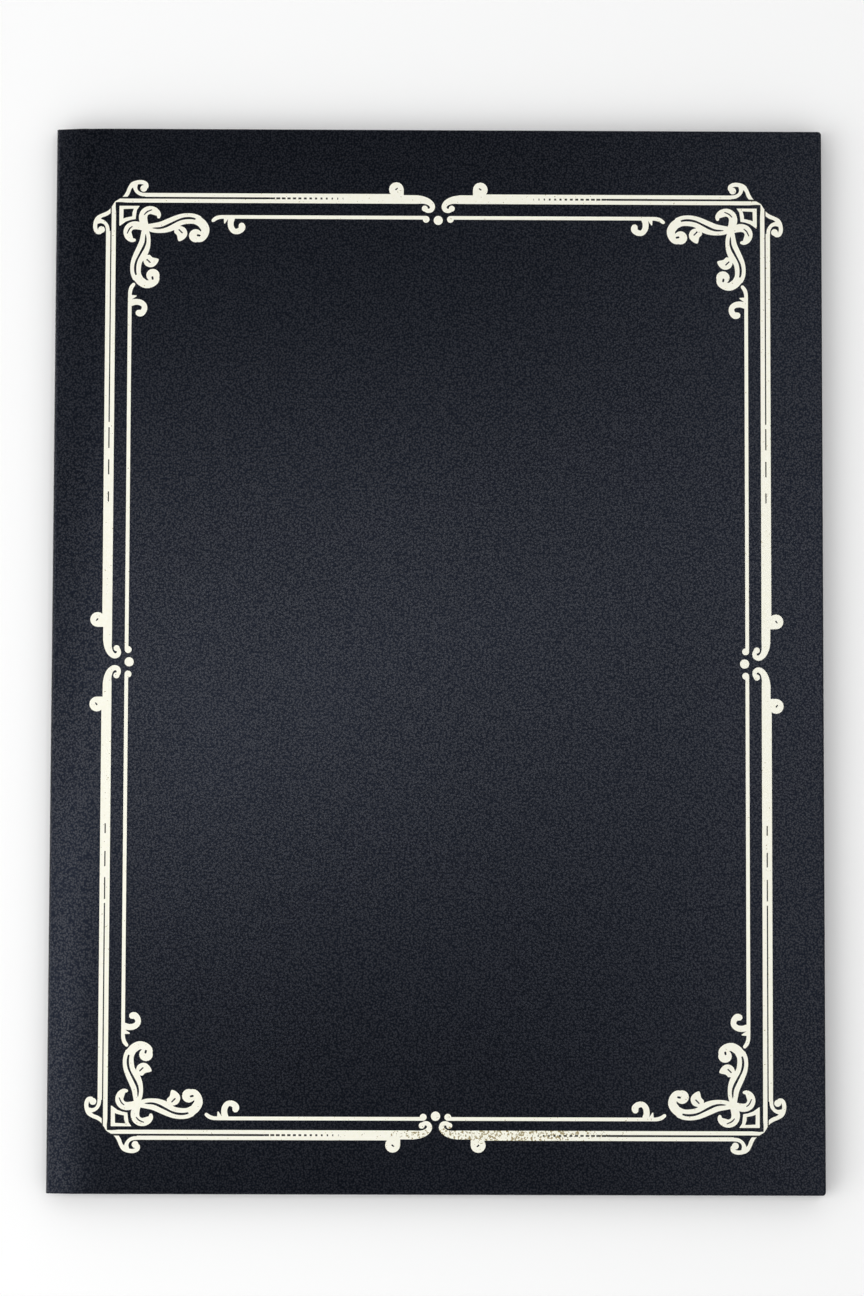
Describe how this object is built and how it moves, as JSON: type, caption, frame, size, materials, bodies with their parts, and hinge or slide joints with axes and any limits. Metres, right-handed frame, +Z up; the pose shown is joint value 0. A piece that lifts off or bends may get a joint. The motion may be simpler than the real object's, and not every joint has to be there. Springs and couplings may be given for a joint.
{
  "type": "certificate holder",
  "caption": "Slim leatherette certificate folder with a stamped foil scroll border. Its front cover opens on a soft spine to a moire lining with satin ribbon corners and a clear sheet.",
  "frame": {"origin": "centre of the back cover's outer face, on the surface that the closed holder lies on", "axes": "+X from the spine to the fore-edge, +Y from the tail to the head, +Z up out of the front cover"},
  "size_m": [0.2246, 0.31, 0.0069],
  "materials": {
    "leatherette": "dark navy-black embossed leatherette with a fine pebble grain and a soft sheen",
    "greyboard": "plain uncoated greyboard",
    "liner_card": "thin uncoated card",
    "moire": "ivory moire with a watered sheen",
    "satin_ribbon": "ivory satin ribbon",
    "spine_cloth": "dark matt lining cloth",
    "foil": "pale champagne metallic stamping foil",
    "clear_film": "clear glossy film"
  },
  "bodies": {
    "back_cover": {"back_cover_leatherette": "leatherette", "back_board": "greyboard", "back_liner_card": "liner_card", "back_moire_lining": "moire", "ribbon_head_spine": "satin_ribbon", "ribbon_head_fore": "satin_ribbon", "ribbon_tail_spine": "satin_ribbon", "ribbon_tail_fore": "satin_ribbon", "clear_sheet": "clear_film", "back_joint_leatherette": "leatherette", "back_joint_lining": "spine_cloth"},
    "spine": {"spine_leatherette": "leatherette", "spine_lining": "spine_cloth"},
    "front_cover": {"front_cover_leatherette": "leatherette", "front_board": "greyboard", "front_liner_card": "liner_card", "front_moire_lining": "moire", "front_joint_leatherette": "leatherette", "front_joint_lining": "spine_cloth", "foil_bar_head_spine": "foil", "foil_bar_spine_head": "foil", "foil_rule_head_spine": "foil", "foil_rule_spine_head": "foil", "foil_flower_head_spine": "foil", "foil_diamond_head_spine": "foil", "foil_bar_head_fore": "foil", "foil_bar_fore_head": "foil", "foil_rule_head_fore": "foil", "foil_rule_fore_head": "foil", "foil_flower_head_fore": "foil", "foil_diamond_head_fore": "foil", "foil_bar_tail_spine": "foil", "foil_bar_spine_tail": "foil", "foil_rule_tail_spine": "foil", "foil_rule_spine_tail": "foil", "foil_flower_tail_spine": "foil", "foil_diamond_tail_spine": "foil", "foil_bar_tail_fore": "foil", "foil_bar_fore_tail": "foil", "foil_rule_tail_fore": "foil", "foil_rule_fore_tail": "foil", "foil_flower_tail_fore": "foil", "foil_diamond_tail_fore": "foil", "foil_dot_head": "foil", "foil_dot_tail": "foil", "foil_dot_spine": "foil", "foil_dot_fore": "foil"}
  },
  "joints": [
    {"name": "back_fold", "type": "hinge", "parent": "back_cover", "child": "spine", "pos_m": [-0.11225, 0, 0.0021], "axis": [0, -1, 0], "range_deg": [0, 90]},
    {"name": "front_fold", "type": "hinge", "parent": "spine", "child": "front_cover", "pos_m": [-0.11225, 0, 0.0047], "axis": [0, -1, 0], "range_deg": [0, 90]}
  ]
}
